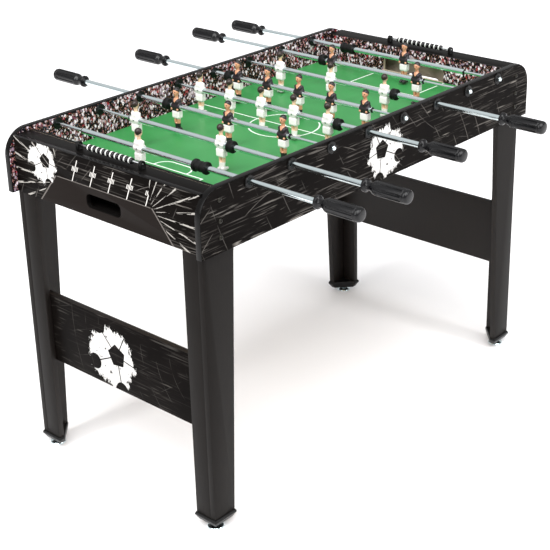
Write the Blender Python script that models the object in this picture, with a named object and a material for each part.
"""Foosball table with eight telescopic rods, 22 men and two sliding-bead scorers.

Frame: +X along the table, +Y across it to the far side, +Z up, origin on the floor under the
middle of the table. White rows push towards +X, and black rows push towards -X.
"""
import math

import bmesh
import bpy
from mathutils import Matrix, Vector

for leftover in list(bpy.data.objects):
    bpy.data.objects.remove(leftover, do_unlink=True)

# ---------------------------------------------------------------- driving dimensions, in metres
TABLE_LENGTH = 1.200            # over the side panels
TABLE_WIDTH = 0.622             # over the side panels' outer faces
TOP_HEIGHT = 0.815              # floor to the top edge of the side panels
APRON_HEIGHT = 0.145            # height of the side panels
PANEL_THICKNESS = 0.015
PANEL_CORNER_RADIUS = 0.060     # rounded top corners of the side panels
FIT_GAP = 0.0003                # between pieces that touch
CUT_MARGIN = 0.010              # how far a cutter reaches past what it cuts

END_SETBACK = 0.017             # side panel end to the end box's outer face
END_BOX_DEPTH = 0.058           # outer face to the wall behind the goal line
END_BOX_DROP = 0.010            # side panel top to the ledge's top
END_OUTER_WALL = 0.012
END_INNER_WALL = 0.009
END_LID = 0.012
TRAY_THICKNESS = 0.008
TRAY_LIFT = 0.011               # apron's lower edge to the ball tray's underside
TRAY_HALF_WIDTH = 0.225
INNER_WALL_LIFT = 0.045         # apron's lower edge to the inner wall's foot beside the tray
GOAL_WIDTH = 0.200
GOAL_HEIGHT = 0.042
GOAL_CORNER_RADIUS = 0.018
RETURN_WIDTH = 0.110
RETURN_HEIGHT = 0.032
RETURN_CORNER_RADIUS = 0.012
RETURN_LIFT = 0.037             # apron's lower edge to the middle of the ball-return hole

PLAYFIELD_THICKNESS = 0.006
BATTEN_SIZE = 0.015             # strip under each long edge of the playfield
BATTEN_END_CLEARANCE = 0.010

ROD_DROP = 0.016                # side panel top to the rods' axis
ROD_TO_PLAYFIELD = 0.066        # rods' axis to the playing surface
ROD_END_MARGIN = 0.070          # goal wall to the first and the last rod's axis
TUBE_DIAMETER = 0.013
TUBE_WALL = 0.0012
BAR_DIAMETER = 0.007            # fixed bar that each tube telescopes over
BAR_REACH = 0.150               # how far the bar goes past the table's middle line
PLUG_LENGTH = 0.012             # bush in the tube's open end
PLUG_CLEARANCE = 0.00045        # round the bar in that bush
BEARING_DIAMETER = 0.028
BEARING_PROUD_OUTSIDE = 0.0035
BEARING_PROUD_INSIDE = 0.003
CAP_NUT_DIAMETER = 0.011
CAP_NUT_LENGTH = 0.009
STOP_GAP = 0.001                # left between a stop and what it meets

BUFFER_DIAMETER = 0.028
BUFFER_LENGTH = 0.016
BUFFER_TO_MAN = 0.031           # end man's middle to the buffer's middle
KEEPER_COLLAR_LENGTH = 0.039
MAN_TO_TUBE_END = 0.022         # end man's middle to the tube's open end
HANDLE_STANDOFF = 0.091         # panel's outer face to the handle with the rod pushed home
HANDLE_LENGTH = 0.116
HANDLE_GRIP_DEPTH = 0.090       # tube inside the handle
HANDLE_RADIUS = 0.0155
HANDLE_FLANGE_RADIUS = 0.0145
HANDLE_NECK_WALL = 0.0027       # plastic round the tube at the handle's neck
HANDLE_CHAMFER = 0.0035
HANDLE_FLANGE_LENGTH = 0.006
HANDLE_NECK_LENGTH = 0.009
HANDLE_SHOULDER_LENGTH = 0.010
HANDLE_END_ROUND = 0.008

FOOT_CLEARANCE = 0.004          # playing surface to the sole
MAN_HEAD_RISE = 0.047           # rod axis to the crown
MAN_WIDTH = 0.028
MAN_CHEST_WALL = 0.003          # plastic round the tube, before and behind

LEG_THICKNESS = 0.015
LEG_SIDE_WIDTH_TOP = 0.091      # width of the leg board beside the long panel
LEG_SIDE_WIDTH_FOOT = 0.061
LEG_END_WIDTH = 0.058           # width of the leg board under the end box
LEG_TONGUE_CLEARANCE = 0.0037   # batten's underside to the leg's top, bolted inside the apron
FOOT_CAP_BOTTOM = 0.014
FOOT_CAP_HEIGHT = 0.020
FOOT_CAP_FLARE = 0.004
FOOT_DIAMETER = 0.038
FOOT_THICKNESS = 0.007
FOOT_STEM_DIAMETER = 0.010
FOOT_STEM_IN_CAP = 0.004        # stem inside the cap
FOOT_INSET = 0.022              # leg's outer faces to the levelling foot's middle
STRETCHER_THICKNESS = 0.015
STRETCHER_BOTTOM = 0.2445
STRETCHER_HEIGHT = 0.175

SCORE_RAIL_DIAMETER = 0.004
SCORE_RAIL_RISE = 0.012         # ledge's top to the rail's axis
SCORE_SPAN = 0.200              # between the brackets' middles
SCORE_BRACKET = (0.014, 0.008, 0.019)
BEAD_COUNT = 10
BEAD_LENGTH = 0.0145
BEAD_DIAMETER = 0.014
BEAD_GROOVE_DIAMETER = 0.009
BEAD_BORE_DIAMETER = 0.005

# Rows from the left end: men, whole travel between the stops, handle side, and where the row
# stands along its axis. The men are spaced so that the row has that travel between the panels.
NEAR, FAR = -1, 1
ROWS = (
    {"men": 1, "travel": 0.1845, "side": NEAR, "offset": 0.016, "white": True},
    {"men": 2, "travel": 0.2480, "side": NEAR, "offset": 0.031, "white": True},
    {"men": 3, "travel": 0.1830, "side": FAR, "offset": -0.003, "white": False},
    {"men": 5, "travel": 0.1110, "side": NEAR, "offset": 0.012, "white": True},
    {"men": 5, "travel": 0.1110, "side": FAR, "offset": 0.006, "white": False},
    {"men": 3, "travel": 0.1830, "side": NEAR, "offset": 0.013, "white": True},
    {"men": 2, "travel": 0.2480, "side": FAR, "offset": -0.021, "white": False},
    {"men": 1, "travel": 0.1845, "side": FAR, "offset": -0.023, "white": False},
)

# ------------------------------------------------------------------------- values worked out
APRON_BOTTOM = TOP_HEIGHT - APRON_HEIGHT
ROD_HEIGHT = TOP_HEIGHT - ROD_DROP
FIELD_TOP = ROD_HEIGHT - ROD_TO_PLAYFIELD
PANEL_OUTER_Y = TABLE_WIDTH / 2
PANEL_INNER_Y = PANEL_OUTER_Y - PANEL_THICKNESS
INNER_HALF_WIDTH = PANEL_INNER_Y - FIT_GAP
END_OUTER_X = TABLE_LENGTH / 2 - END_SETBACK
END_INNER_X = END_OUTER_X - END_BOX_DEPTH
LEDGE_TOP = TOP_HEIGHT - END_BOX_DROP
BEARING_FACE = PANEL_INNER_Y - BEARING_PROUD_INSIDE
LEG_TOP = APRON_BOTTOM - FIT_GAP
ROD_PITCH = 2 * (END_INNER_X - ROD_END_MARGIN) / (len(ROWS) - 1)
BATTEN_TOP = FIELD_TOP - PLAYFIELD_THICKNESS - FIT_GAP
BATTEN_BOTTOM = BATTEN_TOP - BATTEN_SIZE
HANDLE_NECK_RADIUS = TUBE_DIAMETER / 2 + FIT_GAP + HANDLE_NECK_WALL
ROUND_SIDES = 12
SMALL_SIDES = 8


# --------------------------------------------------------------------------------- materials
def make_material(name, colour, roughness, metallic=0.0):
    material = bpy.data.materials.new(name)
    material.use_nodes = True
    shader = material.node_tree.nodes["Principled BSDF"]
    shader.inputs["Base Color"].default_value = (*colour, 1.0)
    shader.inputs["Roughness"].default_value = roughness
    shader.inputs["Metallic"].default_value = metallic
    return material


FINISHES = {
    "printed_board": ((0.018, 0.018, 0.019), 0.35, 0.0),
    "green_field": ((0.070, 0.330, 0.120), 0.40, 0.0),
    "dark_board": ((0.032, 0.029, 0.027), 0.45, 0.0),
    "chromed_steel": ((0.75, 0.77, 0.80), 0.15, 1.0),
    "black_grip": ((0.012, 0.012, 0.014), 0.45, 0.0),
    "white_team": ((0.80, 0.79, 0.76), 0.40, 0.0),
    "black_team": ((0.020, 0.016, 0.017), 0.40, 0.0),
    "score_bead": ((0.60, 0.60, 0.60), 0.35, 0.0),
}


# ---------------------------------------------------------------------------- mesh functions
def add_object(name, mesh, finish=None, place=(0, 0, 0), parent=None):
    """Link one object, with its own material, at a place in world coordinates."""
    piece = bpy.data.objects.new(name, mesh)
    bpy.context.scene.collection.objects.link(piece)
    piece.location = Vector(place) - (parent.location if parent else Vector())
    piece.parent = parent
    if finish:
        colour, roughness, metallic = FINISHES[finish]
        piece.data = mesh.copy()
        piece.data.materials.append(make_material(name, colour, roughness, metallic))
    return piece


def finish_mesh(name, bm, smooth=False):
    bmesh.ops.recalc_face_normals(bm, faces=bm.faces)
    mesh = bpy.data.meshes.new(name)
    bm.to_mesh(mesh)
    bm.free()
    if smooth:
        mesh.shade_smooth()
        mesh.set_sharp_from_angle(angle=math.radians(35))
    return mesh


def box_mesh(name, low, high):
    bm = bmesh.new()
    size = Vector(high) - Vector(low)
    centre = (Vector(high) + Vector(low)) / 2
    bmesh.ops.create_cube(bm, size=1.0)
    bmesh.ops.scale(bm, vec=size, verts=bm.verts)
    bmesh.ops.translate(bm, vec=centre, verts=bm.verts)
    return finish_mesh(name, bm)


def skin_rings(bm, rings):
    """Join rings of equal length with quads, and close the first and the last ring."""
    loops = [[bm.verts.new(point) for point in ring] for ring in rings]
    count = len(loops[0])
    for lower, upper in zip(loops, loops[1:]):
        for i in range(count):
            j = (i + 1) % count
            bm.faces.new((lower[i], lower[j], upper[j], upper[i]))
    bm.faces.new(list(reversed(loops[0])))
    bm.faces.new(loops[-1])


def slab_mesh(name, outline, thickness_from, thickness_to):
    """Extrude an outline of (x, z) points between two values of y."""
    bm = bmesh.new()
    rings = [[(x, y, z) for x, z in outline] for y in (thickness_from, thickness_to)]
    skin_rings(bm, rings)
    return finish_mesh(name, bm)


def turned_mesh(name, profile, sides, closed=False):
    """Turn a profile of (radius, y) points about Y; a radius of 0 is a pole."""
    bm = bmesh.new()
    loops = []
    for radius, along in profile:
        if radius == 0:
            loops.append([bm.verts.new((0, along, 0))])
            continue
        angles = [2 * math.pi * i / sides for i in range(sides)]
        ring = [bm.verts.new((radius * math.cos(a), along, radius * math.sin(a))) for a in angles]
        loops.append(ring)
    pairs = list(zip(loops, loops[1:]))
    if closed:
        pairs.append((loops[-1], loops[0]))
    for first, second in pairs:
        for i in range(sides):
            j = (i + 1) % sides
            if len(first) == 1:
                bm.faces.new((first[0], second[i], second[j]))
            elif len(second) == 1:
                bm.faces.new((first[i], second[0], first[j]))
            else:
                bm.faces.new((first[i], second[i], second[j], first[j]))
    return finish_mesh(name, bm, smooth=True)


def rod_cylinders(name, radii, low, high):
    """One cylinder along Y at each row's axis, for the holes and bearings of a panel."""
    bm = bmesh.new()
    for row_number, radius in enumerate(radii):
        place = Vector((row_x(row_number), (low + high) / 2, ROD_HEIGHT))
        turn = Matrix.Rotation(math.radians(90), 4, "X")
        spin = Matrix.Rotation(math.pi / ROUND_SIDES, 4, "Z")
        bmesh.ops.create_cone(
            bm, cap_ends=True, segments=ROUND_SIDES, radius1=radius, radius2=radius,
            depth=high - low, matrix=Matrix.Translation(place) @ turn @ spin)
    return finish_mesh(name, bm)


def rounded_slot(half_width, low, high, radius, steps=4, square_bottom=False):
    """Outline of a rounded rectangle in (y, z), with its bottom corners square if asked."""
    corners = [(half_width - radius, high - radius, 0), (-half_width + radius, high - radius, 90)]
    if not square_bottom:
        corners += [(-half_width + radius, low + radius, 180), (half_width - radius, low + radius, 270)]
    outline = []
    for centre_y, centre_z, start in corners:
        for step in range(steps + 1):
            angle = math.radians(start + 90 * step / steps)
            outline.append((centre_y + radius * math.cos(angle), centre_z + radius * math.sin(angle)))
    if square_bottom:
        outline += [(-half_width, low), (half_width, low)]
    return outline


def through_x_mesh(name, outline, low, high):
    """Extrude an outline of (y, z) points along X."""
    bm = bmesh.new()
    skin_rings(bm, [[(x, y, z) for y, z in outline] for x in (low, high)])
    return finish_mesh(name, bm)


def combine(piece, tool_mesh, operation):
    """Boolean a guide mesh into a piece; the guide itself is never part of the table."""
    guide = add_object("guide_" + tool_mesh.name, tool_mesh)
    guide.hide_render = True
    guide.display_type = "WIRE"
    modifier = piece.modifiers.new(operation.lower(), "BOOLEAN")
    modifier.operation = operation
    modifier.object = guide
    modifier.solver = "EXACT"
    return guide


def row_x(row_number):
    return (row_number - (len(ROWS) - 1) / 2) * ROD_PITCH


def hole_radius(diameter, sides):
    """Corner radius of a polygonal hole that a shaft of this diameter turns in with a gap."""
    return (diameter / 2 + FIT_GAP) / math.cos(math.pi / sides)


# -------------------------------------------------------------------------------- side panels
def side_panel(name, side):
    """Printed board with a bearing at each rod: a wide one for a tube, a narrow one for a bar."""
    half = TABLE_LENGTH / 2
    outline = [(-half, APRON_BOTTOM), (half, APRON_BOTTOM)]
    for centre_x, start in ((half - PANEL_CORNER_RADIUS, 0), (PANEL_CORNER_RADIUS - half, 90)):
        for step in range(7):
            angle = math.radians(start + 90 * step / 6)
            outline.append((centre_x + PANEL_CORNER_RADIUS * math.cos(angle),
                            TOP_HEIGHT - PANEL_CORNER_RADIUS * (1 - math.sin(angle))))
    faces = sorted((side * PANEL_INNER_Y, side * PANEL_OUTER_Y))
    panel = add_object(name, slab_mesh(name, outline, *faces), "printed_board")

    batten_reach = END_INNER_X - BATTEN_END_CLEARANCE
    batten_y = sorted((side * (PANEL_INNER_Y - BATTEN_SIZE), side * (PANEL_INNER_Y + FIT_GAP)))
    batten = box_mesh(name + "_batten", (-batten_reach, batten_y[0], BATTEN_BOTTOM),
                      (batten_reach, batten_y[1], BATTEN_TOP))
    combine(panel, batten, "UNION")

    inside = side * BEARING_FACE
    outside = side * (PANEL_OUTER_Y + BEARING_PROUD_OUTSIDE)
    blanks = rod_cylinders(name + "_bearings", [BEARING_DIAMETER / 2] * len(ROWS),
                           *sorted((inside, outside)))
    combine(panel, blanks, "UNION")
    radii = []
    for row in ROWS:
        shaft = TUBE_DIAMETER if row["side"] == side else BAR_DIAMETER
        radii.append(hole_radius(shaft, ROUND_SIDES))
    holes = rod_cylinders(name + "_holes", radii, *sorted((inside - side * CUT_MARGIN, outside + side * CUT_MARGIN)))
    combine(panel, holes, "DIFFERENCE")
    return panel


side_panel("side_panel_near", NEAR)
side_panel("side_panel_far", FAR)


# ---------------------------------------------------------------------------------- end boxes
def end_box(name, end):
    """Ledge, end board and goal wall around the ball channel, with the scorer's rail on top."""
    def span(low_x, high_x, half_y, low_z, high_z, low_y=None):
        xs = sorted((end * low_x, end * high_x))
        bottom_y = -half_y if low_y is None else low_y
        return (xs[0], bottom_y, low_z), (xs[1], half_y, high_z)

    whole = box_mesh(name, *span(END_INNER_X, END_OUTER_X, INNER_HALF_WIDTH, APRON_BOTTOM, LEDGE_TOP))
    box = add_object(name, whole, "printed_board")
    channel_inner = END_INNER_X + END_INNER_WALL
    channel_outer = END_OUTER_X - END_OUTER_WALL
    channel_top = LEDGE_TOP - END_LID
    tray_bottom = APRON_BOTTOM + TRAY_LIFT
    tray_top = tray_bottom + TRAY_THICKNESS
    channel = span(channel_inner, channel_outer, TRAY_HALF_WIDTH - TRAY_THICKNESS, tray_top, channel_top)
    combine(box, box_mesh(name + "_channel", *channel), "DIFFERENCE")
    under = span(END_INNER_X - CUT_MARGIN, channel_outer, TRAY_HALF_WIDTH, APRON_BOTTOM - CUT_MARGIN, tray_bottom)
    combine(box, box_mesh(name + "_under_tray", *under), "DIFFERENCE")
    for side in (NEAR, FAR):
        reach = sorted((side * TRAY_HALF_WIDTH, side * (INNER_HALF_WIDTH + CUT_MARGIN)))
        label = name + ("_pocket_near" if side == NEAR else "_pocket_far")
        low, high = span(channel_inner, channel_outer, reach[1], APRON_BOTTOM - CUT_MARGIN, channel_top, reach[0])
        combine(box, box_mesh(label, low, high), "DIFFERENCE")
        foot = APRON_BOTTOM + INNER_WALL_LIFT
        low, high = span(END_INNER_X - CUT_MARGIN, channel_inner + FIT_GAP, reach[1],
                         APRON_BOTTOM - CUT_MARGIN, foot, reach[0])
        combine(box, box_mesh(label + "_foot", low, high), "DIFFERENCE")
    goal = rounded_slot(GOAL_WIDTH / 2, FIELD_TOP, FIELD_TOP + GOAL_HEIGHT, GOAL_CORNER_RADIUS,
                        square_bottom=True)
    goal_x = sorted((end * (END_INNER_X - CUT_MARGIN), end * (channel_inner + CUT_MARGIN)))
    combine(box, through_x_mesh(name + "_goal", goal, *goal_x), "DIFFERENCE")
    hole_middle = APRON_BOTTOM + RETURN_LIFT
    slot = rounded_slot(RETURN_WIDTH / 2, hole_middle - RETURN_HEIGHT / 2,
                        hole_middle + RETURN_HEIGHT / 2, RETURN_CORNER_RADIUS)
    slot_x = sorted((end * (channel_outer - CUT_MARGIN), end * (END_OUTER_X + CUT_MARGIN)))
    combine(box, through_x_mesh(name + "_return", slot, *slot_x), "DIFFERENCE")

    rail_x = end * (END_OUTER_X + END_INNER_X) / 2
    rail_z = LEDGE_TOP + SCORE_RAIL_RISE
    width, length, height = SCORE_BRACKET
    rail = turned_mesh(name + "_rail", [(0, -SCORE_SPAN / 2), (SCORE_RAIL_DIAMETER / 2, -SCORE_SPAN / 2),
                                        (SCORE_RAIL_DIAMETER / 2, SCORE_SPAN / 2), (0, SCORE_SPAN / 2)],
                       SMALL_SIDES)
    for side in (NEAR, FAR):
        middle = Vector((rail_x, side * SCORE_SPAN / 2, LEDGE_TOP + height / 2 - FIT_GAP))
        half = Vector((width, length, height)) / 2
        label = name + ("_bracket_near" if side == NEAR else "_bracket_far")
        combine(box, box_mesh(label, middle - half, middle + half), "UNION")
    rail_guide = combine(box, rail, "UNION")
    rail_guide.location = (rail_x, 0, rail_z)
    return box


def score_beads(name, end):
    """Ten beads side by side on the scorer's rail, slid along it together."""
    start = -BEAD_COUNT * BEAD_LENGTH / 2
    profile = [(BEAD_BORE_DIAMETER / 2, -start), (BEAD_BORE_DIAMETER / 2, start)]
    for number in range(BEAD_COUNT):
        low = start + number * BEAD_LENGTH
        profile.append((BEAD_GROOVE_DIAMETER / 2, low))
        profile.append((BEAD_DIAMETER / 2, low + BEAD_LENGTH / 2))
    profile.append((BEAD_GROOVE_DIAMETER / 2, -start))
    mesh = turned_mesh(name, profile, SMALL_SIDES, closed=True)
    place = (end * (END_OUTER_X + END_INNER_X) / 2, 0, LEDGE_TOP + SCORE_RAIL_RISE)
    return add_object(name, mesh, "score_bead", place)


for end_name, end_sign in (("left", -1), ("right", 1)):
    end_box("end_box_" + end_name, end_sign)
    score_beads("score_beads_" + end_name, end_sign)


# ---------------------------------------------------------------------------------- playfield
field_reach = END_INNER_X - FIT_GAP
field = box_mesh("playfield", (-field_reach, -INNER_HALF_WIDTH, FIELD_TOP - PLAYFIELD_THICKNESS),
                 (field_reach, INNER_HALF_WIDTH, FIELD_TOP))
add_object("playfield", field, "green_field")


# --------------------------------------------------------------------------------------- legs
def leg(name, end, side):
    """Two boards meeting at the outer corner, on a flared cap and a levelling foot."""
    outer_x = END_OUTER_X
    outer_y = INNER_HALF_WIDTH

    def corner_points(side_width, end_width, thickness, grow):
        """L outline, clockwise or not as the corner falls; distances count inwards."""
        inward = [(-grow, -grow), (side_width + grow, -grow), (side_width + grow, thickness),
                  (thickness, thickness), (thickness, end_width + grow), (-grow, end_width + grow)]
        return [(end * (outer_x - a), side * (outer_y - b)) for a, b in inward]

    cap_top = FOOT_CAP_BOTTOM + FOOT_CAP_HEIGHT
    bm = bmesh.new()
    low = corner_points(LEG_SIDE_WIDTH_FOOT, LEG_END_WIDTH, LEG_THICKNESS, 0)
    high = corner_points(LEG_SIDE_WIDTH_TOP, LEG_END_WIDTH, LEG_THICKNESS, 0)
    skin_rings(bm, [[(x, y, cap_top - FOOT_CAP_HEIGHT / 2) for x, y in low],
                    [(x, y, LEG_TOP) for x, y in high]])
    piece = add_object(name, finish_mesh(name, bm), "dark_board")

    tongue_outer_x = END_OUTER_X - END_OUTER_WALL - FIT_GAP
    tongue_x = sorted((end * (END_OUTER_X - LEG_SIDE_WIDTH_TOP), end * tongue_outer_x))
    tongue_y = sorted((side * (outer_y - LEG_THICKNESS), side * outer_y))
    tongue = box_mesh(name + "_tongue", (tongue_x[0], tongue_y[0], LEG_TOP - LEG_THICKNESS),
                      (tongue_x[1], tongue_y[1], BATTEN_BOTTOM - LEG_TONGUE_CLEARANCE))
    combine(piece, tongue, "UNION")

    def cap_outline(grow):
        inward = [(-grow, -grow), (LEG_SIDE_WIDTH_FOOT + grow, -grow),
                  (LEG_SIDE_WIDTH_FOOT + grow, LEG_THICKNESS + grow),
                  (LEG_THICKNESS + grow, LEG_END_WIDTH + grow), (-grow, LEG_END_WIDTH + grow)]
        return [(end * (outer_x - a), side * (outer_y - b)) for a, b in inward]

    bm = bmesh.new()
    skin_rings(bm, [[(x, y, FOOT_CAP_BOTTOM) for x, y in cap_outline(-FOOT_CAP_FLARE)],
                    [(x, y, FOOT_CAP_BOTTOM + FOOT_CAP_HEIGHT * 0.7) for x, y in cap_outline(FOOT_CAP_FLARE)],
                    [(x, y, cap_top) for x, y in cap_outline(FOOT_CAP_FLARE / 2)]])
    combine(piece, finish_mesh(name + "_cap", bm), "UNION")

    stem_top = FOOT_CAP_BOTTOM + FOOT_STEM_IN_CAP
    foot_profile = [(0, 0), (FOOT_DIAMETER / 2, 0), (FOOT_DIAMETER / 2, FOOT_THICKNESS / 2),
                    (FOOT_STEM_DIAMETER / 2, FOOT_THICKNESS), (FOOT_STEM_DIAMETER / 2, stem_top),
                    (0, stem_top)]
    foot = turned_mesh(name + "_foot", foot_profile, ROUND_SIDES)
    guide = combine(piece, foot, "UNION")
    guide.rotation_euler = (math.radians(90), 0, 0)
    guide.location = (end * (outer_x - FOOT_INSET), side * (outer_y - FOOT_INSET), 0)
    return piece


for end_name, end_sign in (("left", -1), ("right", 1)):
    leg("leg_near_" + end_name, end_sign, NEAR)
    leg("leg_far_" + end_name, end_sign, FAR)
    outer = END_OUTER_X - LEG_THICKNESS - FIT_GAP
    xs = sorted((end_sign * outer, end_sign * (outer - STRETCHER_THICKNESS)))
    reach = INNER_HALF_WIDTH - LEG_THICKNESS - FIT_GAP
    board = box_mesh("stretcher_" + end_name, (xs[0], -reach, STRETCHER_BOTTOM),
                     (xs[1], reach, STRETCHER_BOTTOM + STRETCHER_HEIGHT))
    add_object("stretcher_" + end_name, board, "dark_board")


# --------------------------------------------------------------------------------------- rows
def man_mesh(name, facing):
    """One man hanging from the rod: octagonal sections from sole to crown, about the rod's axis."""
    half = MAN_WIDTH / 2
    foot = FOOT_CLEARANCE - ROD_TO_PLAYFIELD
    head = MAN_HEAD_RISE
    chest = TUBE_DIAMETER / 2 + MAN_CHEST_WALL
    # height, front, back, half width
    sections = (
        (foot, 0.0155, -0.0090, 0.0090),
        (foot + 0.0100, 0.0120, -0.0090, 0.0100),
        (foot + 0.0200, 0.0055, -0.0060, 0.0085),
        (-0.0250, 0.0075, -0.0075, half * 0.86),
        (-0.0090, chest * 0.90, -chest * 0.90, half * 0.89),
        (0.0100, chest, -chest * 0.95, half),
        (0.0190, 0.0070, -0.0070, half * 0.80),
        (0.0235, 0.0050, -0.0060, 0.0055),
        (0.0290, 0.0080, -0.0080, 0.0080),
        (0.0400, 0.0090, -0.0090, 0.0090),
        (head, 0.0050, -0.0050, 0.0050),
    )
    rings = []
    for height, front, back, width in sections:
        cut = 0.30 * min(width, (front - back) / 2)
        ring = [(front, -width + cut), (front, width - cut), (front - cut, width), (back + cut, width),
                (back, width - cut), (back, -width + cut), (back + cut, -width), (front - cut, -width)]
        rings.append([(facing * x, facing * y, height) for x, y in ring])
    bm = bmesh.new()
    skin_rings(bm, rings)
    return finish_mesh(name, bm, smooth=True)


def row_layout(row):
    """Spacing of the men, tube's open end, buffer's middle and length, from the row's travel.

    Pushed home, the tube's open end stops at one panel; pulled out, the buffer stops at the other.
    """
    keeper = row["men"] == 1
    buffer_length = KEEPER_COLLAR_LENGTH if keeper else BUFFER_LENGTH
    reach = 2 * (BEARING_FACE - STOP_GAP) - buffer_length / 2 - row["travel"]
    if keeper:
        return 0.0, reach / 2, reach / 2, buffer_length
    end_man = (reach - MAN_TO_TUBE_END - BUFFER_TO_MAN) / 2
    spacing = 2 * end_man / (row["men"] - 1)
    return spacing, end_man + MAN_TO_TUBE_END, end_man + BUFFER_TO_MAN, buffer_length


def build_row(number, row):
    """Bar, tube with its buffer and end plug, handle and men of one row."""
    side = row["side"]
    spacing, tube_end, buffer_middle, buffer_length = row_layout(row)
    pushed_home = BEARING_FACE - tube_end - STOP_GAP
    handle_start = PANEL_OUTER_Y + HANDLE_STANDOFF + pushed_home
    axis = bpy.data.objects.new("axis_row_%d" % number, None)
    bpy.context.scene.collection.objects.link(axis)
    axis.location = (row_x(number - 1), row["offset"], ROD_HEIGHT)
    place = tuple(axis.location)

    def along(profile):
        return [(radius, side * distance) for radius, distance in profile]

    tube_radius = TUBE_DIAMETER / 2
    bore_radius = tube_radius - TUBE_WALL
    plug_radius = BAR_DIAMETER / 2 + PLUG_CLEARANCE
    buffer_radius = BUFFER_DIAMETER / 2
    tube_tip = handle_start + HANDLE_GRIP_DEPTH
    tube = along([
        (0, tube_tip - TUBE_WALL), (bore_radius, tube_tip - TUBE_WALL), (bore_radius, PLUG_LENGTH - tube_end),
        (plug_radius, PLUG_LENGTH - tube_end), (plug_radius, -tube_end), (tube_radius, -tube_end),
        (tube_radius, buffer_middle - buffer_length / 2), (buffer_radius, buffer_middle - buffer_length / 2),
        (buffer_radius, buffer_middle + buffer_length / 2), (tube_radius, buffer_middle + buffer_length / 2),
        (tube_radius, tube_tip), (0, tube_tip)])
    tube_name = "rod_tube_%d" % number
    add_object(tube_name, turned_mesh(tube_name, tube, ROUND_SIDES), "chromed_steel", place, axis)

    socket_radius = tube_radius + FIT_GAP
    socket_end = HANDLE_GRIP_DEPTH + FIT_GAP
    flange_end = HANDLE_CHAMFER + HANDLE_FLANGE_LENGTH
    neck_start = flange_end + HANDLE_CHAMFER
    neck_end = neck_start + HANDLE_NECK_LENGTH
    grip = [
        (0, socket_end), (socket_radius, socket_end), (socket_radius, 0), (HANDLE_NECK_RADIUS, 0),
        (HANDLE_FLANGE_RADIUS, HANDLE_CHAMFER), (HANDLE_FLANGE_RADIUS, flange_end),
        (HANDLE_NECK_RADIUS, neck_start), (HANDLE_NECK_RADIUS, neck_end),
        (HANDLE_RADIUS, neck_end + HANDLE_SHOULDER_LENGTH),
        (HANDLE_RADIUS, HANDLE_LENGTH - HANDLE_END_ROUND),
        (HANDLE_RADIUS * 0.75, HANDLE_LENGTH), (0, HANDLE_LENGTH)]
    handle = along([(radius, handle_start + distance) for radius, distance in grip])
    handle_name = "handle_%d" % number
    add_object(handle_name, turned_mesh(handle_name, handle, ROUND_SIDES), "black_grip", place, axis)

    bar_radius = BAR_DIAMETER / 2
    wall = PANEL_OUTER_Y + BEARING_PROUD_OUTSIDE + FIT_GAP
    nut_radius = CAP_NUT_DIAMETER / 2
    bar = [(0, BAR_REACH), (bar_radius, BAR_REACH), (bar_radius, -wall), (nut_radius, -wall),
           (nut_radius, -wall - CAP_NUT_LENGTH * 0.6), (nut_radius * 0.6, -wall - CAP_NUT_LENGTH),
           (0, -wall - CAP_NUT_LENGTH)]
    bar_name = "inner_bar_%d" % number
    bar_place = (place[0], 0, place[2])
    add_object(bar_name, turned_mesh(bar_name, along(bar), SMALL_SIDES), "chromed_steel", bar_place, axis)

    team = "white_team" if row["white"] else "black_team"
    bore_reach = PANEL_INNER_Y + CUT_MARGIN
    bore = turned_mesh("row_%d_bore" % number, [
        (0, -bore_reach), (socket_radius, -bore_reach), (socket_radius, bore_reach), (0, bore_reach)],
        ROUND_SIDES)
    guide = add_object("guide_row_%d_bore" % number, bore, None, place)
    guide.hide_render = True
    guide.display_type = "WIRE"
    for index in range(row["men"]):
        man_name = "man_%d_%d" % (number, index + 1)
        beside = (index - (row["men"] - 1) / 2) * spacing
        stand = (place[0], place[1] + beside, place[2])
        man = add_object(man_name, man_mesh(man_name, 1 if row["white"] else -1), team, stand, axis)
        cut = man.modifiers.new("rod_bore", "BOOLEAN")
        cut.operation = "DIFFERENCE"
        cut.object = guide
        cut.solver = "EXACT"


for row_index, row_data in enumerate(ROWS):
    build_row(row_index + 1, row_data)
